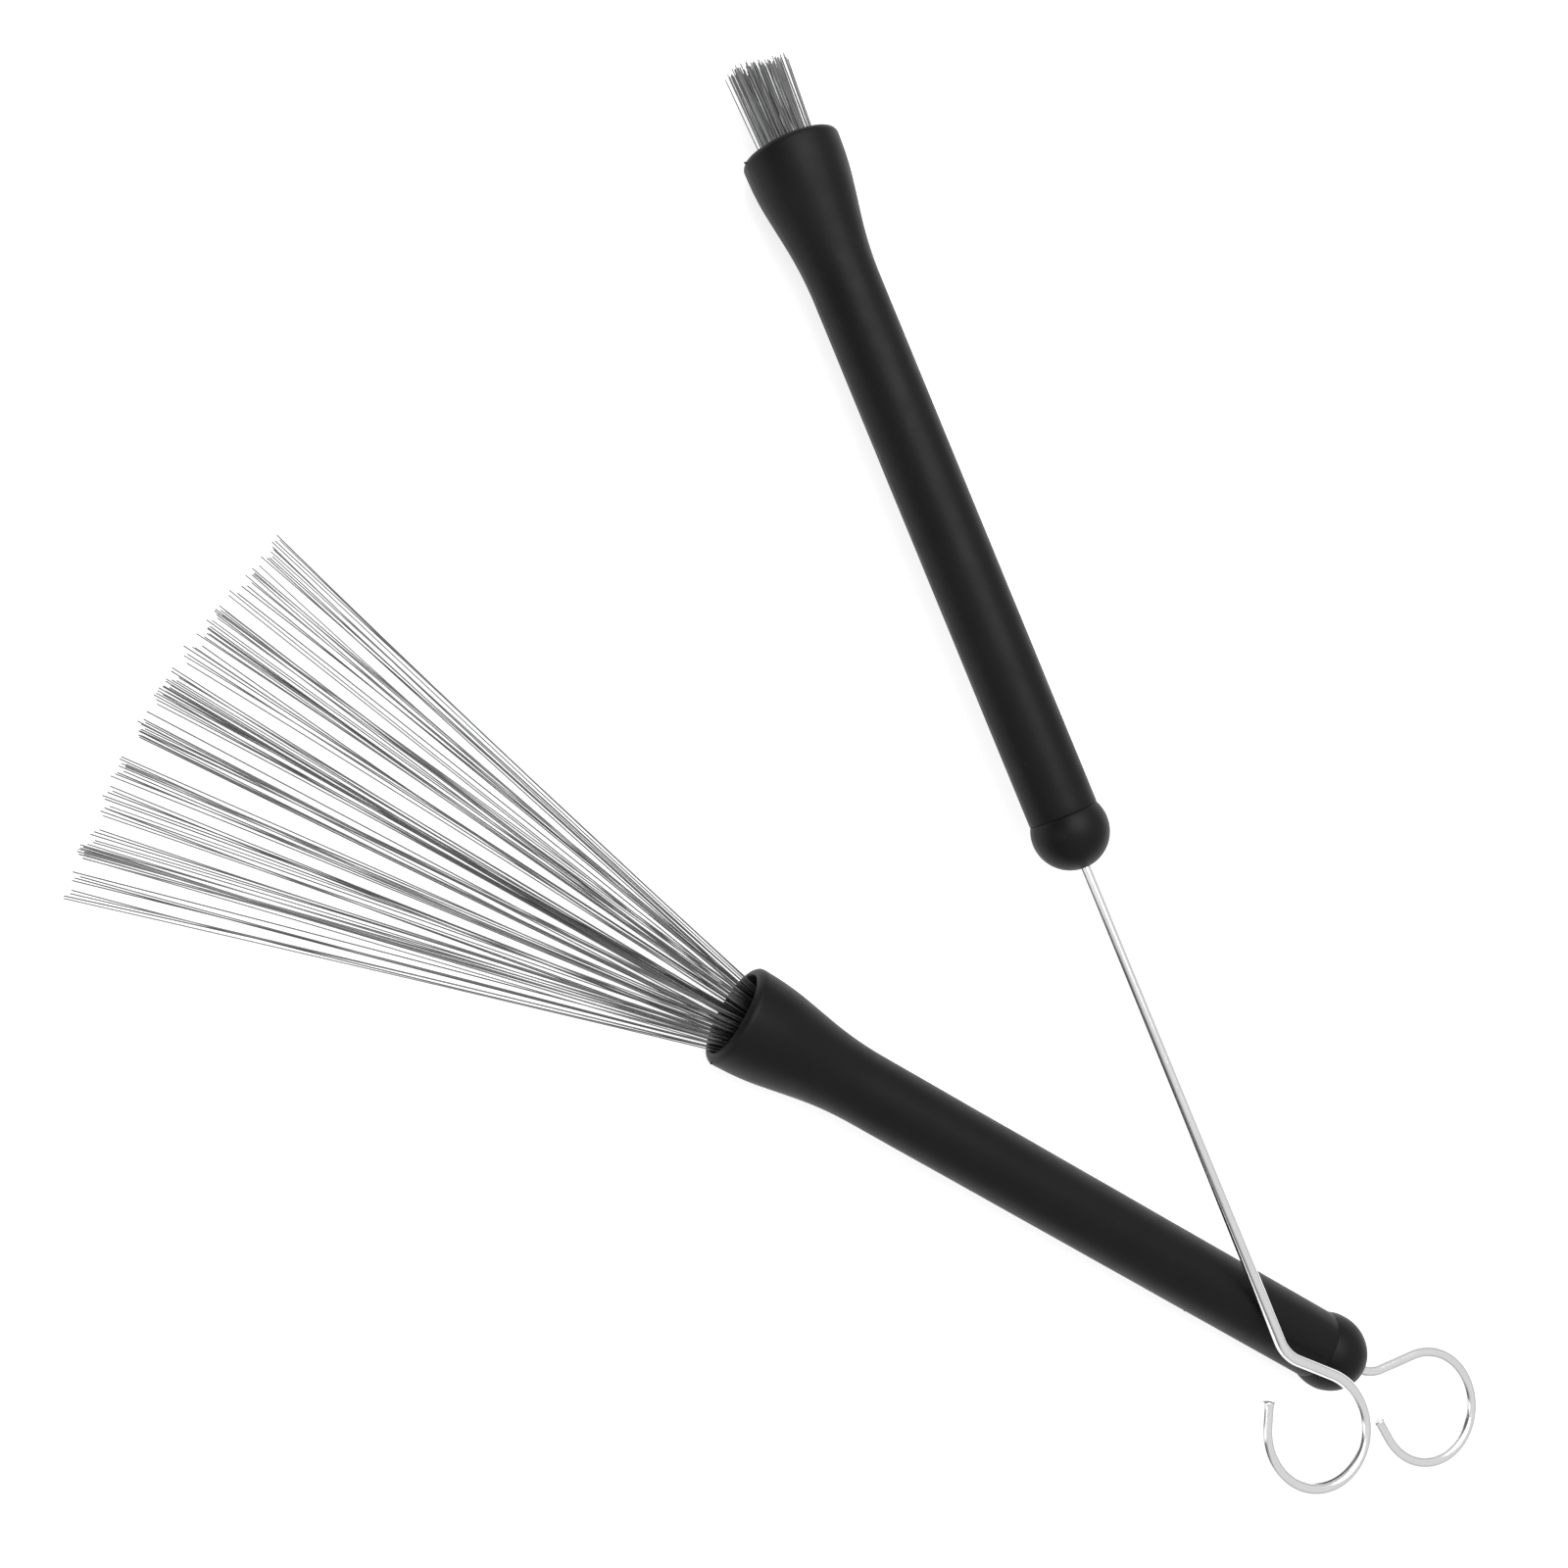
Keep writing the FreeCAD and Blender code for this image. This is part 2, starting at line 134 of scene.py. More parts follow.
# angle about the ferrule, half spread and number of wires, from right to left
FAN_CLUMPS = (
    (-14.3, 0.25, 4), (-13.2, 0.35, 7), (-12.0, 0.3, 3),
    (-10.4, 0.5, 6), (-9.2, 0.2, 3), (-7.8, 0.12, 5),
    (-6.6, 0.25, 3), (-5.6, 0.35, 9), (-4.6, 0.2, 2),
    (-3.1, 0.5, 5), (-1.4, 0.4, 9),
    (-0.7, 0.3, 4), (0.2, 0.4, 7), (1.5, 0.1, 1), (2.4, 0.1, 2),
    (2.9, 0.35, 8), (3.45, 0.1, 3), (6.3, 0.15, 3),
    (6.9, 0.35, 7), (8.3, 0.35, 5), (9.4, 0.2, 2),
    (10.2, 0.2, 3), (12.0, 0.35, 5), (12.9, 0.3, 6),
    (13.5, 0.25, 6), (15.0, 0.2, 4), (17.0, 0.25, 4),
)
STUB_TURN = 1.6
STUB_FLARE = 0.6
STUB_HALF_WIDTH = 6.4
STUB_APART = 0.8

# camera and studio, in metres and degrees
CAMERA_AIM = (0.0470, 0.0230, 0.0100)
CAMERA_AZIMUTH = 136.3
CAMERA_ELEVATION = 70.65
CAMERA_ROLL = 73.0
CAMERA_DISTANCE = 0.3942
CAMERA_LENS = 45.0
CAMERA_SENSOR = 36.0
WORLD_STRENGTH = 0.85
FLOOR_GLOW = 0.74
FLOOR_HALF = 3.0
KEY_POWER = 6.5
FILL_POWER = 1.2
# lean towards the dark side of the surroundings, and brightness there
DARK_SIDE = ((0.4, 1.0), (0.78, 0.2))
# height of a direction, and brightness of the surroundings there
HORIZON = ((0.0, 0.38), (0.45, 1.0))

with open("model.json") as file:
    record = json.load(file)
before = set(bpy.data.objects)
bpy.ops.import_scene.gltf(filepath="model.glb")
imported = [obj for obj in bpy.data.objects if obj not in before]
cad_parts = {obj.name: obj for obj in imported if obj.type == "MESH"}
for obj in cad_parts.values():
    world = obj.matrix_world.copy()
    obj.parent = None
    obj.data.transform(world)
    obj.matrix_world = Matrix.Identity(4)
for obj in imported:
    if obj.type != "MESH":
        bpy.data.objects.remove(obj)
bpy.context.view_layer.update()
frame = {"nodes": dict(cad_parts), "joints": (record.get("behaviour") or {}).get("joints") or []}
JOINTS = {joint["name"]: joint for joint in frame["joints"]}


# ---------------------------------------------------------------- axes

def plunger_axes(letter):
    """Centre of the ferrule's front face, with axes forward, left and up."""
    slide = JOINTS[f"brush_{letter}_plunger_slide"]
    hinges = [JOINTS[f"brush_{letter}_wires_{number}_spread"] for number in BUNDLES]
    forward = -Vector(slide["axis"]).normalized()
    up = Vector(hinges[0]["axis"]).normalized()
    left = up.cross(forward)
    axes = Matrix((forward, left, up)).transposed().to_4x4()
    axes.translation = sum((Vector(hinge["pos_m"]) for hinge in hinges), Vector()) / len(hinges)
    return axes


def local_points(node, axes):
    """Corners of a CAD node in a brush's axes, in millimetres."""
    inverse = axes.inverted()
    return [(inverse @ vertex.co) / MM for vertex in frame["nodes"][node].data.vertices]


def local_span(node, axes):
    """Lowest and highest corner of a CAD node in a brush's axes, in millimetres."""
    points = local_points(node, axes)
    low = Vector([min(point[side] for point in points) for side in range(3)])
    high = Vector([max(point[side] for point in points) for side in range(3)])
    return low, high


def local_radius(node, axes, station):
    """Outside radius of a turned CAD node at a station along its axis."""
    points = local_points(node, axes)
    return max(math.hypot(p.y, p.z) for p in points if abs(p.x - station) < STATION_SLACK)


def handle_axes(letter):
    """The plunger's axes, moved to the centre of the mouth face."""
    axes = plunger_axes(letter)
    mouth = local_span(f"brush_{letter}_grip", axes)[1].x
    return axes @ Matrix.Translation((mouth * MM, 0, 0))


# ---------------------------------------------------------------- meshes

def skin(name, rings, runs, axes, closed=False, capped=True):
    """Mesh over rings of points, with a UV map of metres along and metres round."""
    sides = len(rings[0])
    points = [axes @ (point * MM) for ring in rings for point in ring]
    bands = len(rings) if closed else len(rings) - 1
    faces = []
    for band in range(bands):
        here = band * sides
        there = (band + 1) % len(rings) * sides
        for side in range(sides):
            after = (side + 1) % sides
            faces.append((here + side, here + after, there + after, there + side))
    if capped and not closed:
        faces.append(tuple(range(sides))[::-1])
        last = (len(rings) - 1) * sides
        faces.append(tuple(range(last, last + sides)))
    mesh = bpy.data.meshes.new(name)
    mesh.from_pydata(points, [], faces)
    uv = mesh.uv_layers.new(name="surface")
    for band in range(bands):
        around = 2 * math.pi * runs[band][1]
        for side in range(sides):
            face = mesh.polygons[band * sides + side]
            low = side / sides * around * MM
            high = (side + 1) / sides * around * MM
            start = runs[band][0] * MM
            end = runs[(band + 1) % len(rings)][0] * MM
            corners = ((start, low), (start, high), (end, high), (end, low))
            for loop, place in zip(face.loop_indices, corners):
                uv.data[loop].uv = place
    mesh.validate()
    mesh.update()
    return mesh


def outward(mesh):
    """Turn every face to the outside and shade the surface smooth."""
    work = bmesh.new()
    work.from_mesh(mesh)
    bmesh.ops.recalc_face_normals(work, faces=work.faces)
    work.to_mesh(mesh)
    work.free()
    for face in mesh.polygons:
        face.use_smooth = True
    return mesh


def new_piece(mesh, material, sharp_angle=40.0):
    """Object for a finished mesh, with its material."""
    outward(mesh)
    mesh.set_sharp_from_angle(angle=math.radians(sharp_angle))
    mesh.materials.append(material)
    piece = bpy.data.objects.new(mesh.name, mesh)
    bpy.context.scene.collection.objects.link(piece)
    return piece


def joined(name, meshes):
    """One mesh out of several, with their UV maps and attributes."""
    work = bmesh.new()
    for mesh in meshes:
        work.from_mesh(mesh)
    result = bpy.data.meshes.new(name)
    work.to_mesh(result)
    work.free()
    return result


def rounded(corners, step):
    """Outline through corners (x, radius, round), with an arc at each rounded corner."""
    outline = []
    count = len(corners)
    for index, (x, radius, round_size) in enumerate(corners):
        corner = Vector((x, radius))
        if round_size == 0.0:
            outline.append(corner)
            continue
        before = (Vector(corners[index - 1][:2]) - corner).normalized()
        after = (Vector(corners[(index + 1) % count][:2]) - corner).normalized()
        half = math.acos(max(-1.0, min(1.0, before.dot(after)))) / 2
        centre = corner + (before + after).normalized() * (round_size / math.sin(half))
        first = corner + before * (round_size / math.tan(half)) - centre
        last = corner + after * (round_size / math.tan(half)) - centre
        turn = first.angle_signed(last)
        steps = round(abs(turn) * round_size / step)
        steps = min(max(FEWEST_ARC_STEPS, steps), MOST_ARC_STEPS)
        for part in range(steps + 1):
            angle = -turn * part / steps
            spun = Vector((
                first.x * math.cos(angle) - first.y * math.sin(angle),
                first.x * math.sin(angle) + first.y * math.cos(angle),
            ))
            outline.append(centre + spun)
    return outline


def filled(outline, step):
    """The same closed outline, with points added on its long stretches."""
    result = []
    for index, point in enumerate(outline):
        following = outline[(index + 1) % len(outline)]
        parts = max(1, math.ceil((following - point).length / step))
        result += [point.lerp(following, part / parts) for part in range(parts)]
    return result


def grip_angles():
    """Angles round a rubber piece, closer together at the parting line on both sides."""
    angles = [side * math.pi + step for side in (0, 1) for step in PARTING_ANGLES]
    for number in range(GRIP_SIDES):
        angle = 2 * math.pi * number / GRIP_SIDES
        gap = abs((angle + math.pi / 2) % math.pi - math.pi / 2)
        if gap > max(PARTING_ANGLES):
            angles.append(angle)
    return sorted(angle % (2 * math.pi) for angle in angles)


def rubber_turned(name, outline, axes, seed):
    """Turned rubber skin with soft waves and a fine parting line on both sides."""
    angles = grip_angles()
    rings = []
    runs = []
    run = 0.0
    for index, point in enumerate(outline):
        run += (point - outline[index - 1]).length if index else 0.0
        ring = []
        for angle in angles:
            side = min(abs(math.sin(angle)) * point.y, PARTING_WIDTH)
            ridge = PARTING_HEIGHT * (1 - side / PARTING_WIDTH) ** 2
            across = math.cos(angle) * point.y * WAVES_ROUND
            upward = math.sin(angle) * point.y * WAVES_ROUND
            place = Vector((point.x * WAVES_ALONG + seed, across, upward))
            wave = noise.noise(place) * RUBBER_WAVES
            outer = point.y > TUBE_RADIUS + OUTER_MARGIN
            radius = point.y + (wave + ridge if outer else 0.0)
            ring.append(Vector((point.x, math.cos(angle) * radius, math.sin(angle) * radius)))
        rings.append(ring)
        runs.append((run, point.y))
    return skin(name, rings, runs, axes, closed=True)


def nib(name, station, side, height, radius, axes):
    """Small flash nib left by the mould, standing on the parting line."""
    rings = []
    for share, width in NIB_SHAPE:
        reach = side * (radius + share * height)
        ring = []
        for number in range(NIB_SIDES):
            angle = 2 * math.pi * number / NIB_SIDES
            ring.append(Vector((
                -station + math.cos(angle) * width + NIB_LEAN * share,
                reach,
                math.sin(angle) * width * NIB_FLATNESS,
            )))
        rings.append(ring)
    runs = [(share * height, width) for share, width in NIB_SHAPE]
    return skin(name, rings, runs, axes)


# ---------------------------------------------------------------- rubber pieces

def outer_radius(outline, station):
    """Outside radius of an outline at a station behind the mouth."""
    reach = [point.y for point in outline if abs(point.x + station) < GRIP_RING_STEP]
    return max(reach)


def make_grip(letter, material):
    """Rubber sleeve with its flared head, coned mouth and flash nibs."""
    axes = handle_axes(letter)
    low, high = local_span(f"brush_{letter}_grip", axes)
    head = high.z
    rear = low.x
    straight = local_radius(f"brush_{letter}_grip", axes, rear)
    corners = [
        (0.0, MOUTH_RADIUS, MOUTH_ROUND),
        (0.0, head, LIP_ROUND),
        (-SHOULDER[0], SHOULDER[1], SHOULDER_ROUND),
        (-FLARE_END, straight, FLARE_ROUND),
        (rear, straight, JOINT_ROUND),
        (rear, TUBE_RADIUS, 0.0),
        (-TUBE_STATION, TUBE_RADIUS, 0.0),
        (-TUBE_STATION, TUBE_BORE, 0.0),
    ]
    outline = filled(rounded(corners, ARC_STEP), GRIP_RING_STEP)
    name = f"brush_{letter}_grip_rubber"
    meshes = [rubber_turned(name, outline, axes, seed=3.0 + ord(letter))]
    for station, side, height in NIBS[letter]:
        radius = outer_radius(outline, station) - NIB_INSET
        meshes.append(nib(f"{name}_nib", station, side, height, radius, axes))
    piece = new_piece(joined(name, meshes), material, 60.0)
    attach(piece, f"brush_{letter}_handle")
    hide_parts(f"brush_{letter}_grip")


def make_end_ball(letter, material):
    """Rubber ball with a soft crease at its joint and a rounded rod hole."""
    axes = handle_axes(letter)
    low, high = local_span(f"brush_{letter}_end_ball", axes)
    radius = high.z
    joint = high.x
    centre = low.x + math.sqrt(radius ** 2 - ROD_HOLE ** 2)
    start = math.acos((joint - centre) / radius) + JOINT_ROUND / radius
    stop = math.pi - math.asin((ROD_HOLE + HOLE_ROUND) / radius)
    outline = [Vector((joint, TUBE_RADIUS))]
    outline.append(Vector((joint, radius * math.sin(start) - JOINT_ROUND)))
    for part in range(BALL_ARC_STEPS + 1):
        angle = start + (stop - start) * part / BALL_ARC_STEPS
        outline.append(Vector((centre + radius * math.cos(angle), radius * math.sin(angle))))
    outline.append(Vector((low.x + HOLE_EDGE.x, ROD_HOLE + HOLE_EDGE.y)))
    outline.append(Vector((low.x + HOLE_ROUND, ROD_HOLE)))
    outline.append(Vector((-TUBE_END, ROD_HOLE)))
    outline.append(Vector((-TUBE_END, TUBE_RADIUS)))
    name = f"brush_{letter}_end_ball_rubber"
    mesh = rubber_turned(name, filled(outline, GRIP_RING_STEP), axes, seed=9.0 + ord(letter))
    piece = new_piece(mesh, material, 60.0)
    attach(piece, f"brush_{letter}_handle")
    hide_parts(f"brush_{letter}_end_ball")


# ---------------------------------------------------------------- pull rod

def line_points(start, end, step):
    """Points of a straight line, no more than a step apart."""
    parts = max(1, math.ceil((end - start).length / step))
    return [start.lerp(end, part / parts) for part in range(parts + 1)]


def arc_points(centre, radius, first, last, step):
    """Points of an arc in the XY plane, angles in degrees."""
    parts = max(1, math.ceil(abs(last - first) / step))
    points = []
    for part in range(parts + 1):
        angle = math.radians(first + (last - first) * part / parts)
        points.append(centre + Vector((math.cos(angle), math.sin(angle), 0)) * radius)
    return points


def rod_line(low, high):
    """Centre line of the pull rod from its front end to its cut end."""
    rod = (high.z - low.z) / 2
    loop = -low.y - rod
    turn = math.radians(NECK_TURN)
    stop = math.radians(LOOP_STOP)
    centre = Vector((low.x + loop + rod, 0, 0))
    bend = centre.x + loop / math.sin(turn) + NECK_RADIUS * math.tan(turn / 2)
    neck = Vector((bend, -NECK_RADIUS, 0))
    tail = centre + Vector((math.cos(stop), math.sin(stop), 0)) * loop
    end = tail + Vector((math.sin(stop), -math.cos(stop), 0)) * LOOP_TAIL
    points = line_points(Vector((-ROD_FRONT, 0, 0)), Vector((bend, 0, 0)), STRAIGHT_STEP)
    points += arc_points(neck, NECK_RADIUS, 90, 90 + NECK_TURN, BEND_STEP)
    points += arc_points(centre, loop, NECK_TURN - 90, LOOP_STOP - 360, BEND_STEP)
    points += line_points(tail, end, TAIL_STEP)
    clean = [points[0]]
    for point in points[1:]:
        if (point - clean[-1]).length > SHORTEST_STEP:
            clean.append(point)
    return clean, rod


def tube_rings(points, radii, sides):
    """Rings round a line of points, all square to it, without twist."""
    rings = []
    side = Vector((0, 0, 1))
    for index, point in enumerate(points):
        before = points[max(index - 1, 0)]
        after = points[min(index + 1, len(points) - 1)]
        along = (after - before).normalized()
        side = (side - along * side.dot(along)).normalized()
        other = along.cross(side)
        ring = []
        for number in range(sides):
            angle = 2 * math.pi * number / sides
            ring.append(point + (side * math.cos(angle) + other * math.sin(angle)) * radii[index])
        rings.append(ring)
    return rings


def make_pull_rod(letter, material):
    """Bent rod with a loop; its cut end is a little mushroomed, with a dished face."""
    axes = plunger_axes(letter)
    low, high = local_span(f"brush_{letter}_pull_rod", axes)
    line, rod = rod_line(low, high)
    end = line[-1]
    along = (line[-1] - line[-2]).normalized()
    points = [point for point in line if (point - end).length > CUT_END[0][0] + CUT_MARGIN]
    radii = [rod] * len(points)
    for distance, share in CUT_END + CUT_FACE:
        points.append(end - along * distance)
        radii.append(rod * share)
    rings = tube_rings(points, radii, ROD_SIDES)
    face = len(CUT_FACE)
    for index in range(len(points) - face, len(points)):
        spin = tube_rings([end - along, end], [radii[index]] * 2, ROD_SIDES)[1]
        rings[index] = [corner + points[index] - end for corner in spin]
    runs = []
    run = 0.0
    for index, point in enumerate(points):
        run += (point - points[index - 1]).length if index else 0.0
        runs.append((run, rod))
    mesh = skin(f"brush_{letter}_pull_rod_bent", rings, runs, axes)
    piece = new_piece(mesh, material, 50.0)
    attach(piece, f"brush_{letter}_plunger")
    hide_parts(f"brush_{letter}_pull_rod")


# ---------------------------------------------------------------- wires

def bundle_heading(letter, number, axes):
    """Root point of a bundle and its direction, degrees to the left, both at rest."""
    root = axes.inverted() @ Vector(JOINTS[f"brush_{letter}_wires_{number}_spread"]["pos_m"])
    root = root / MM
    points = local_points(f"brush_{letter}_wires_{number}", axes)
    front = max(point.x for point in points)
    tips = [point for point in points if point.x > front - TIP_DEPTH]
    tip = sum(tips, Vector()) / len(tips)
    return root, math.degrees(math.atan2(tip.y - root.y, tip.x - root.x))


def fan_turns(number, root, heading, chance):
    """Turn of each wire of an opened bundle, with its share that bends in the clump."""
    wires = []
    for angle, spread, count in FAN_CLUMPS:
        for place in range(count):
            side = 2 * place / max(count - 1, 1) - 1
            wires.append((angle, side * spread + chance.uniform(-FAN_STRAY, FAN_STRAY)))
    per_bundle = WIRES_PER_ROW * ROWS_PER_BUNDLE
    first = (number - 1) * per_bundle
    shown = math.degrees(root.y / WIRE_LENGTH)
    limit = OUTER_LEVEL_TURN if abs(root.z) > OUTER_LEVEL else LARGEST_TURN
    turns = []
    for angle, deviation in wires[first:first + per_bundle]:
        turn = angle - shown - heading
        turns.append((max(-limit, min(limit, turn)), deviation))
    return turns


def stub_turns(chance):
    """Turn of each wire of a drawn-in bundle: an even spread."""
    count = WIRES_PER_ROW * ROWS_PER_BUNDLE
    turns = []
    for place in range(count):
        side = 2 * place / (count - 1) - 1
        turns.append((side * STUB_TURN, chance.uniform(-STUB_STRAY, STUB_STRAY)))
    return turns


def wire_line(root, heading, turn, deviation, length, rise, flare, bow):
    """Centre line of one wire: straight, with its own small bow and a bend towards the tip."""
    points = [root - Vector((WIRE_ROOT, 0, 0))]
    angle = math.radians(heading + turn)
    along = Vector((math.cos(angle), math.sin(angle), 0))
    across = Vector((-math.sin(angle), math.cos(angle), 0))
    for step in range(WIRE_STEPS + 1):
        share = step / WIRE_STEPS
        bend = math.radians(deviation) * length * ((1 + PINCH) * share ** 3 - PINCH * share)
        bend += bow * 4 * share * (1 - share)
        outside = max(0.0, share - TUBE_SHARE) / (1 - TUBE_SHARE)
        sideways = bend + flare * outside ** FLARE_POWER
        lift = Vector((0, 0, rise * share))
        points.append(root + along * (share * length) + across * sideways + lift)
    return points


def make_wire_bundle(letter, number, material, chance):
    """Bundle of separate steel wires, opened into a fan on brush A and drawn in on brush B."""
    axes = plunger_axes(letter)
    root, heading = bundle_heading(letter, number, axes)
    opened = letter == "a"
    turns = fan_turns(number, root, heading, chance) if opened else stub_turns(chance)
    middle = (WIRES_PER_ROW - 1) / 2
    outermost = number in (BUNDLES[0], BUNDLES[-1])
    stagger = chance.uniform(0.0, FAN_STAGGER if opened and not outermost else STUB_STAGGER)
    ragged = FAN_RAGGED if opened else STUB_RAGGED
    meshes = []
    for place, (turn, deviation) in enumerate(turns):
        column, row = divmod(place, ROWS_PER_BUNDLE)
        rank = row - (ROWS_PER_BUNDLE - 1) / 2
        across = (column - middle) * WIRE_PITCH + rank * WIRE_PITCH / 2
        start = root + Vector((0, across, rank * ROW_PITCH))
        length = WIRE_LENGTH - stagger - chance.uniform(0.0, ragged)
        bow = chance.uniform(-WIRE_BOW, WIRE_BOW) if opened else 0.0
        top = max(-HIGHEST_WIRE, min(HIGHEST_WIRE, start.z + chance.uniform(-WIRE_RISE, WIRE_RISE)))
        tip = start.y + math.radians(heading + turn) * length
        flare = 0.0 if opened else STUB_FLARE * tip / STUB_HALF_WIDTH
        if not opened and number == 1 and column == 0:
            flare -= STUB_APART
        line = wire_line(start, heading, turn, deviation, length, top - start.z, flare, bow)
        rings = tube_rings(line, [WIRE_RADIUS] * len(line), WIRE_SIDES)
        runs = [(index * length / WIRE_STEPS, WIRE_RADIUS) for index in range(len(line))]
        mesh = skin(f"wire_{place}", rings, runs, axes)
        tone = mesh.attributes.new("tone", "FLOAT", "POINT")
        shade = chance.random()
        tone.data.foreach_set("value", [shade] * len(mesh.vertices))
        meshes.append(mesh)
    name = f"brush_{letter}_wire_bundle_{number}"
    piece = new_piece(joined(name, meshes), material, 50.0)
    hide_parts(f"brush_{letter}_wires_{number}")
    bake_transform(piece)


# ---------------------------------------------------------------- materials

def new_material(name, **sockets):
    """Principled material; returns it with its tree and shader."""
    material = bpy.data.materials.new(name)
    material.use_nodes = True
    shader = material.node_tree.nodes["Principled BSDF"]
    for socket, value in sockets.items():
        shader.inputs[socket.replace("_", " ")].default_value = value
    return material, material.node_tree, shader


def texture(tree, kind, coordinates, **inputs):
    """Texture node fed with coordinates."""
    node = tree.nodes.new(kind)
    for socket, value in inputs.items():
        node.inputs[socket].default_value = value
    tree.links.new(coordinates, node.inputs["Vector"])
    return node


def ramp(tree, source, stops):
    """Colour ramp of grey values (position, value)."""
    node = tree.nodes.new("ShaderNodeValToRGB")
    elements = node.color_ramp.elements
    while len(elements) < len(stops):
        elements.new(0.5)
    for element, (position, value) in zip(elements, stops):
        element.position = position
        element.color = (value, value, value, 1)
    tree.links.new(source, node.inputs["Fac"])
    return node.outputs["Color"]


def feed(tree, source, stops, socket):
    """Drive a socket through a ramp of grey values."""
    tree.links.new(ramp(tree, source, stops), socket)


def mapped(tree, coordinates, scale):
    """Coordinates stretched by a scale for each axis."""
    node = tree.nodes.new("ShaderNodeMapping")
    node.inputs["Scale"].default_value = scale
    tree.links.new(coordinates, node.inputs["Vector"])
    return node.outputs["Vector"]


def add_bump(tree, shader, height, distance, strength=1.0):
    """Bump from one height; further calls stack on the one before."""
    node = tree.nodes.new("ShaderNodeBump")
    node.inputs["Distance"].default_value = distance
    node.inputs["Strength"].default_value = strength
    tree.links.new(height, node.inputs["Height"])
    linked = shader.inputs["Normal"].links
    if linked:
        tree.links.new(linked[0].from_socket, node.inputs["Normal"])
    tree.links.new(node.outputs["Normal"], shader.inputs["Normal"])


def coordinate(tree, output):
    """One output of a texture coordinate node."""
    return tree.nodes.new("ShaderNodeTexCoord").outputs[output]


def rubber_material():
    """Satin moulded black rubber: soft grain, faint clouding and a few dust specks."""
    material, tree, shader = new_material("moulded_rubber", Specular_IOR_Level=0.17)
    place = coordinate(tree, "Object")
    clouds = texture(tree, "ShaderNodeTexNoise", place, Scale=70.0, Detail=4.0)
    base = ramp(tree, clouds.outputs["Fac"], ((0.3, 0.003), (0.7, 0.0045)))
    specks = texture(tree, "ShaderNodeTexVoronoi", place, Scale=210.0)
    dots = ramp(tree, specks.outputs["Distance"], ((0.0, 1.0), (0.05, 0.0)))
    mix = tree.nodes.new("ShaderNodeMix")
    mix.data_type = "RGBA"
    tree.links.new(dots, mix.inputs["Factor"])
    tree.links.new(base, mix.inputs["A"])
    mix.inputs["B"].default_value = (0.022, 0.022, 0.022, 1)
    tree.links.new(mix.outputs["Result"], shader.inputs["Base Color"])
    polish = texture(tree, "ShaderNodeTexNoise", place, Scale=240.0, Detail=3.0)
    feed(tree, polish.outputs["Fac"], ((0.3, 0.42), (0.7, 0.5)), shader.inputs["Roughness"])
    grain = texture(tree, "ShaderNodeTexNoise", place, Scale=4200.0, Detail=3.0)
    add_bump(tree, shader, grain.outputs["Fac"], 0.00002, 0.5)
    pores = texture(tree, "ShaderNodeTexVoronoi", place, Scale=2600.0)
    add_bump(tree, shader, pores.outputs["Distance"], 0.00001, 0.4)
    return material


def rod_material():
    """Bright drawn rod: fine lines along its length and a slightly uneven polish."""
    material, tree, shader = new_material("drawn_rod", Metallic=1.0)
    surface = coordinate(tree, "UV")
    stretched = mapped(tree, surface, (60.0, 9000.0, 1.0))
    lines = texture(tree, "ShaderNodeTexNoise", stretched, Scale=1.0, Detail=3.0)
    tint = ramp(tree, lines.outputs["Fac"], ((0.3, 0.72), (0.7, 0.82)))
    tree.links.new(tint, shader.inputs["Base Color"])
    patches = texture(tree, "ShaderNodeTexNoise", coordinate(tree, "Object"), Scale=160.0, Detail=4.0)
    feed(tree, patches.outputs["Fac"], ((0.3, 0.14), (0.7, 0.2)), shader.inputs["Roughness"])
    add_bump(tree, shader, lines.outputs["Fac"], 0.000006, 0.4)
    return material


def wire_material():
    """Spring steel wire; each wire has a tone of its own."""
    material, tree, shader = new_material("spring_wire", Metallic=1.0)
    tone = tree.nodes.new("ShaderNodeAttribute")
    tone.attribute_name = "tone"
    base = ramp(tree, tone.outputs["Fac"], ((0.0, 0.16), (1.0, 0.34)))
    stretched = mapped(tree, coordinate(tree, "UV"), (150.0, 9000.0, 1.0))
    drawn = texture(tree, "ShaderNodeTexNoise", stretched, Scale=1.0)
    mix = tree.nodes.new("ShaderNodeMix")
    mix.data_type = "RGBA"
    mix.blend_type = "MULTIPLY"
    mix.inputs["Factor"].default_value = 0.35
    tree.links.new(base, mix.inputs["A"])
    tree.links.new(drawn.outputs["Fac"], mix.inputs["B"])
    tree.links.new(mix.outputs["Result"], shader.inputs["Base Color"])
    patches = texture(tree, "ShaderNodeTexNoise", coordinate(tree, "Object"), Scale=350.0)
    feed(tree, patches.outputs["Fac"], ((0.3, 0.28), (0.7, 0.42)), shader.inputs["Roughness"])
    return material


def brushed_material(name, dark, light, roughness):
    """Drawn or crimped metal inside the brush."""
    material, tree, shader = new_material(name, Metallic=1.0)
    place = coordinate(tree, "Object")
    lines = texture(tree, "ShaderNodeTexNoise", mapped(tree, place, (300.0, 5000.0, 5000.0)), Scale=1.0)
    feed(tree, lines.outputs["Fac"], ((0.3, dark), (0.7, light)), shader.inputs["Base Color"])
    smudges = texture(tree, "ShaderNodeTexNoise", place, Scale=400.0, Detail=3.0)
    spread = ((0.3, roughness), (0.7, roughness + 0.12))
    feed(tree, smudges.outputs["Fac"], spread, shader.inputs["Roughness"])
    add_bump(tree, shader, lines.outputs["Fac"], 0.00001, 0.4)
    return material


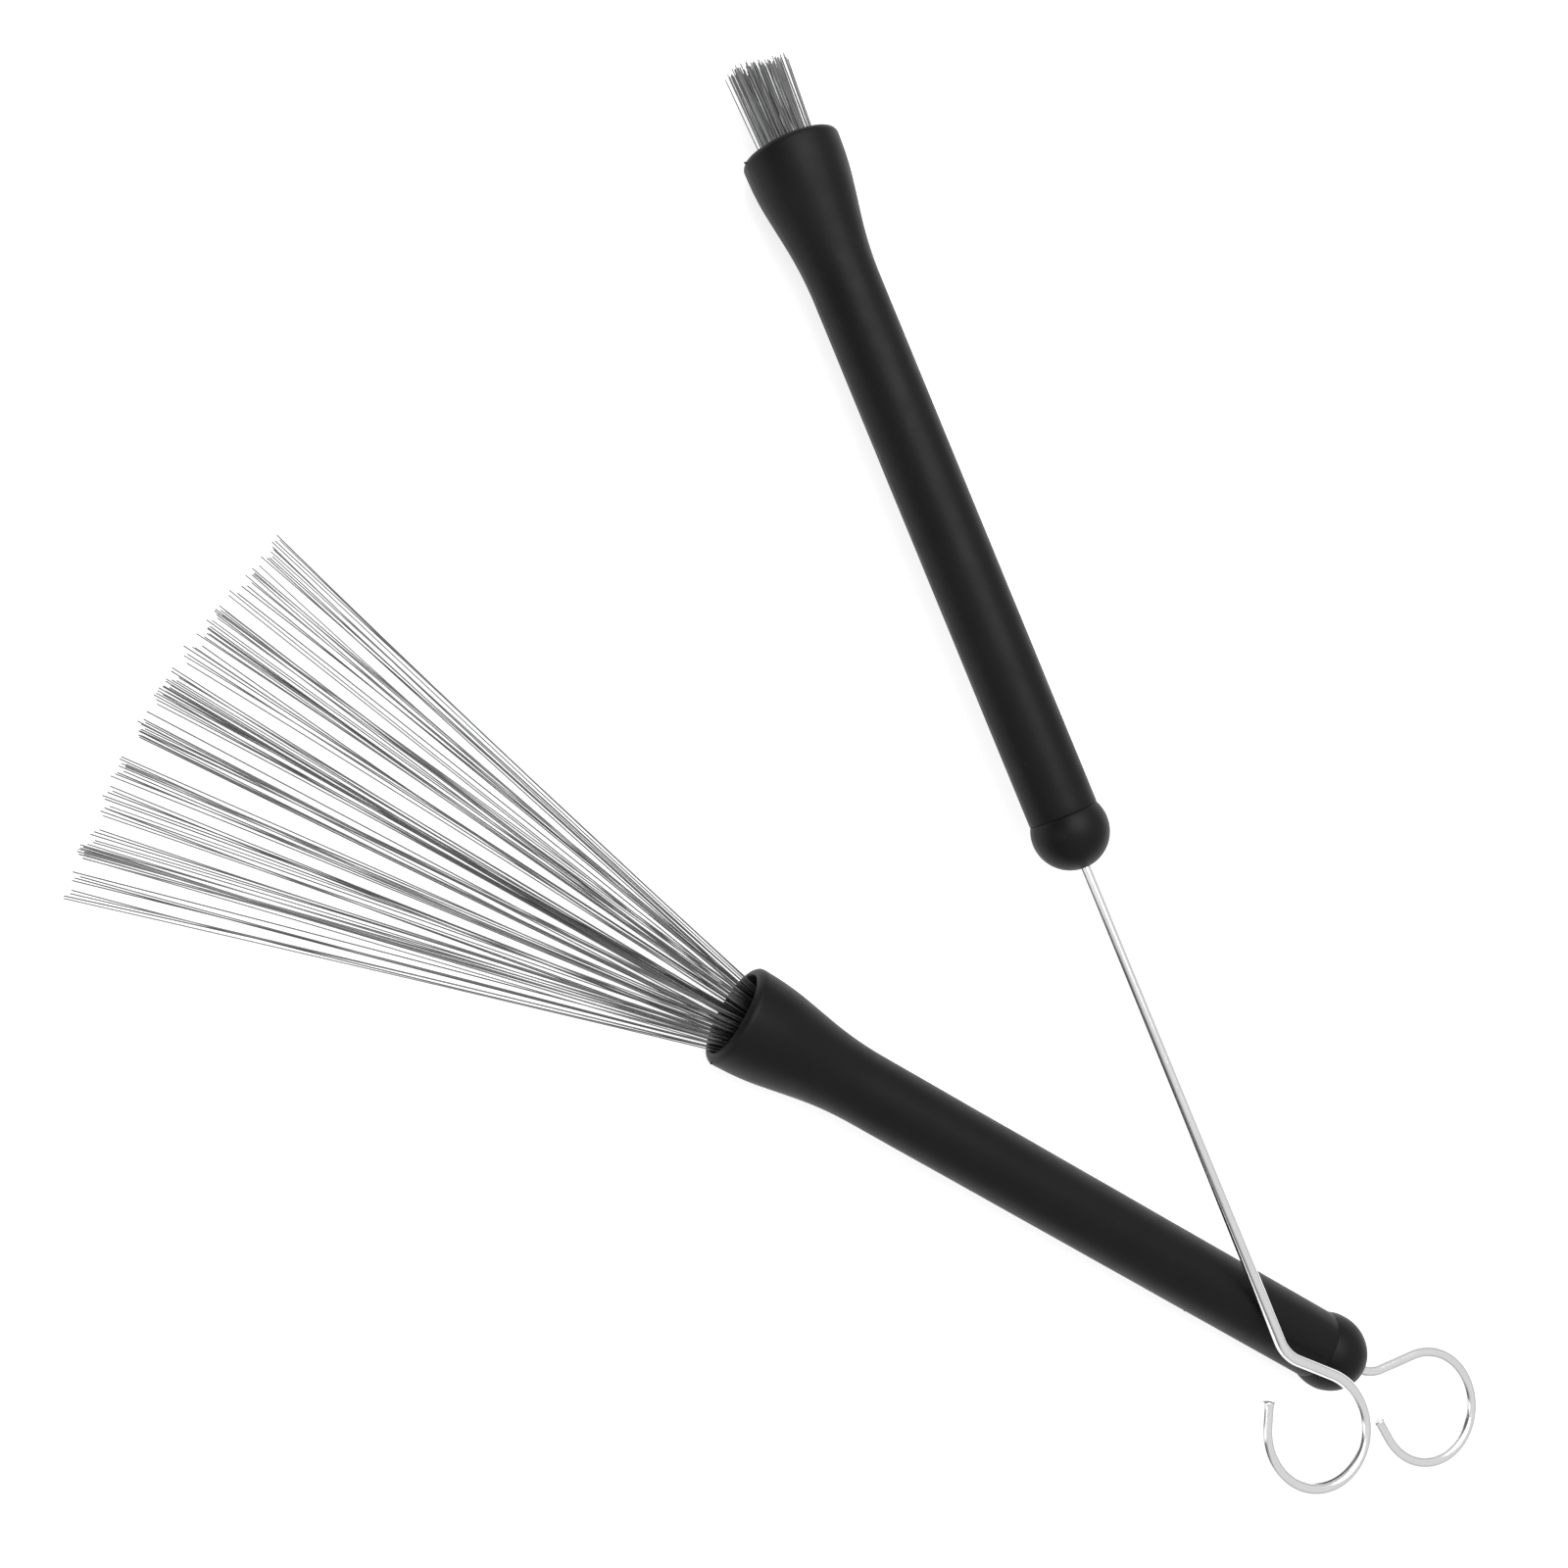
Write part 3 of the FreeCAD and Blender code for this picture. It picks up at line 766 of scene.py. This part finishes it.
def nylon_material():
    """Moulded nylon bush with a fine matt grain."""
    material, tree, shader = new_material("moulded_nylon", Specular_IOR_Level=0.45)
    place = coordinate(tree, "Object")
    clouds = texture(tree, "ShaderNodeTexNoise", place, Scale=300.0, Detail=3.0)
    feed(tree, clouds.outputs["Fac"], ((0.3, 0.1), (0.7, 0.14)), shader.inputs["Base Color"])
    grain = texture(tree, "ShaderNodeTexNoise", place, Scale=3500.0, Detail=2.0)
    feed(tree, grain.outputs["Fac"], ((0.3, 0.4), (0.7, 0.5)), shader.inputs["Roughness"])
    add_bump(tree, shader, grain.outputs["Fac"], 0.00002, 0.4)
    return material


def repaint(node, material):
    """Give a CAD node a better material."""
    mesh = frame["nodes"][node].data
    mesh.materials.clear()
    mesh.materials.append(material)


# ---------------------------------------------------------------- studio

def camera_axes():
    """Right, up and back of the camera, in the row frame."""
    azimuth = math.radians(CAMERA_AZIMUTH)
    elevation = math.radians(CAMERA_ELEVATION)
    back = Vector((
        math.sin(azimuth) * math.cos(elevation),
        -math.cos(azimuth) * math.cos(elevation),
        math.sin(elevation),
    ))
    level = Vector((0, 0, 1)).cross(back).normalized()
    plumb = back.cross(level)
    roll = math.radians(CAMERA_ROLL)
    right = level * math.cos(roll) + plumb * math.sin(roll)
    up = plumb * math.cos(roll) - level * math.sin(roll)
    return right, up, back


def make_camera():
    """Camera above the brushes, rolled so that brush B points up."""
    right, up, back = camera_axes()
    data = bpy.data.cameras.new("camera")
    data.lens = CAMERA_LENS
    data.sensor_width = CAMERA_SENSOR
    data.clip_start = 0.01
    camera = bpy.data.objects.new("camera", data)
    pose = Matrix((right, up, back)).transposed().to_4x4()
    pose.translation = Vector(CAMERA_AIM) + back * CAMERA_DISTANCE
    camera.matrix_world = pose
    bpy.context.scene.collection.objects.link(camera)
    bpy.context.scene.camera = camera


def soft_light(name, across, upward, distance, width, height, power):
    """Area light placed by the camera's right, up and back, aimed at the brushes."""
    right, up, back = camera_axes()
    data = bpy.data.lights.new(name, "AREA")
    data.shape = "RECTANGLE"
    data.size = width
    data.size_y = height
    data.energy = power
    light = bpy.data.objects.new(name, data)
    place = Vector(CAMERA_AIM) + right * across + up * upward + back * distance
    light.location = place
    light.rotation_euler = (place - Vector(CAMERA_AIM)).to_track_quat("Z", "Y").to_euler()
    bpy.context.scene.collection.objects.link(light)


def make_floor():
    """Plain pale floor under the brushes."""
    half = FLOOR_HALF
    mesh = bpy.data.meshes.new("floor")
    corners = [(-half, -half, 0), (half, -half, 0), (half, half, 0), (-half, half, 0)]
    mesh.from_pydata(corners, [], [(0, 1, 2, 3)])
    material, tree, shader = new_material("pale_floor", Roughness=0.9)
    shade = texture(tree, "ShaderNodeTexNoise", coordinate(tree, "Object"), Scale=3.0)
    feed(tree, shade.outputs["Fac"], ((0.3, 0.5), (0.7, 0.52)), shader.inputs["Base Color"])
    shader.inputs["Emission Color"].default_value = (1, 1, 1, 1)
    shader.inputs["Emission Strength"].default_value = FLOOR_GLOW
    mesh.materials.append(material)
    floor = bpy.data.objects.new("floor", mesh)
    bpy.context.scene.collection.objects.link(floor)


def make_world():
    """Pale surroundings, darker low down and on one side, which give the rods their dark lines."""
    world = bpy.data.worlds.new("studio")
    world.use_nodes = True
    tree = world.node_tree
    background = tree.nodes["Background"]
    background.inputs["Strength"].default_value = WORLD_STRENGTH
    lean = tree.nodes.new("ShaderNodeVectorMath")
    lean.operation = "DOT_PRODUCT"
    tree.links.new(coordinate(tree, "Generated"), lean.inputs[0])
    right, up, back = camera_axes()
    lean.inputs[1].default_value = -Vector((right.x, right.y, 0)).normalized()
    height = tree.nodes.new("ShaderNodeSeparateXYZ")
    tree.links.new(coordinate(tree, "Generated"), height.inputs["Vector"])
    mix = tree.nodes.new("ShaderNodeMix")
    mix.data_type = "RGBA"
    mix.blend_type = "MULTIPLY"
    mix.inputs["Factor"].default_value = 1.0
    tree.links.new(ramp(tree, lean.outputs["Value"], DARK_SIDE), mix.inputs["A"])
    tree.links.new(ramp(tree, height.outputs["Z"], HORIZON), mix.inputs["B"])
    tree.links.new(mix.outputs["Result"], background.inputs["Color"])
    bpy.context.scene.world = world


def make_studio():
    """Camera, floor, surroundings and two soft lights."""
    make_camera()
    make_floor()
    make_world()
    soft_light("key", 0.30, 0.40, 0.80, 0.8, 0.8, KEY_POWER)
    soft_light("fill", -0.55, -0.2, 0.75, 0.35, 0.9, FILL_POWER)
    scene = bpy.context.scene
    scene.view_settings.view_transform = "Standard"


# ---------------------------------------------------------------- assembly

def make_brushes():
    """Every visible piece of both brushes."""
    rubber = rubber_material()
    rod = rod_material()
    wire = wire_material()
    tube = brushed_material("drawn_tube", 0.62, 0.74, 0.3)
    ferrule = brushed_material("crimped_ferrule", 0.42, 0.55, 0.34)
    nylon = nylon_material()
    for letter in LETTERS:
        chance = random.Random(f"brush {letter}")
        make_grip(letter, rubber)
        make_end_ball(letter, rubber)
        make_pull_rod(letter, rod)
        for number in BUNDLES:
            make_wire_bundle(letter, number, wire, chance)
        repaint(f"brush_{letter}_tube", tube)
        repaint(f"brush_{letter}_rear_bush", nylon)
        repaint(f"brush_{letter}_ferrule", ferrule)


make_studio()
make_brushes()
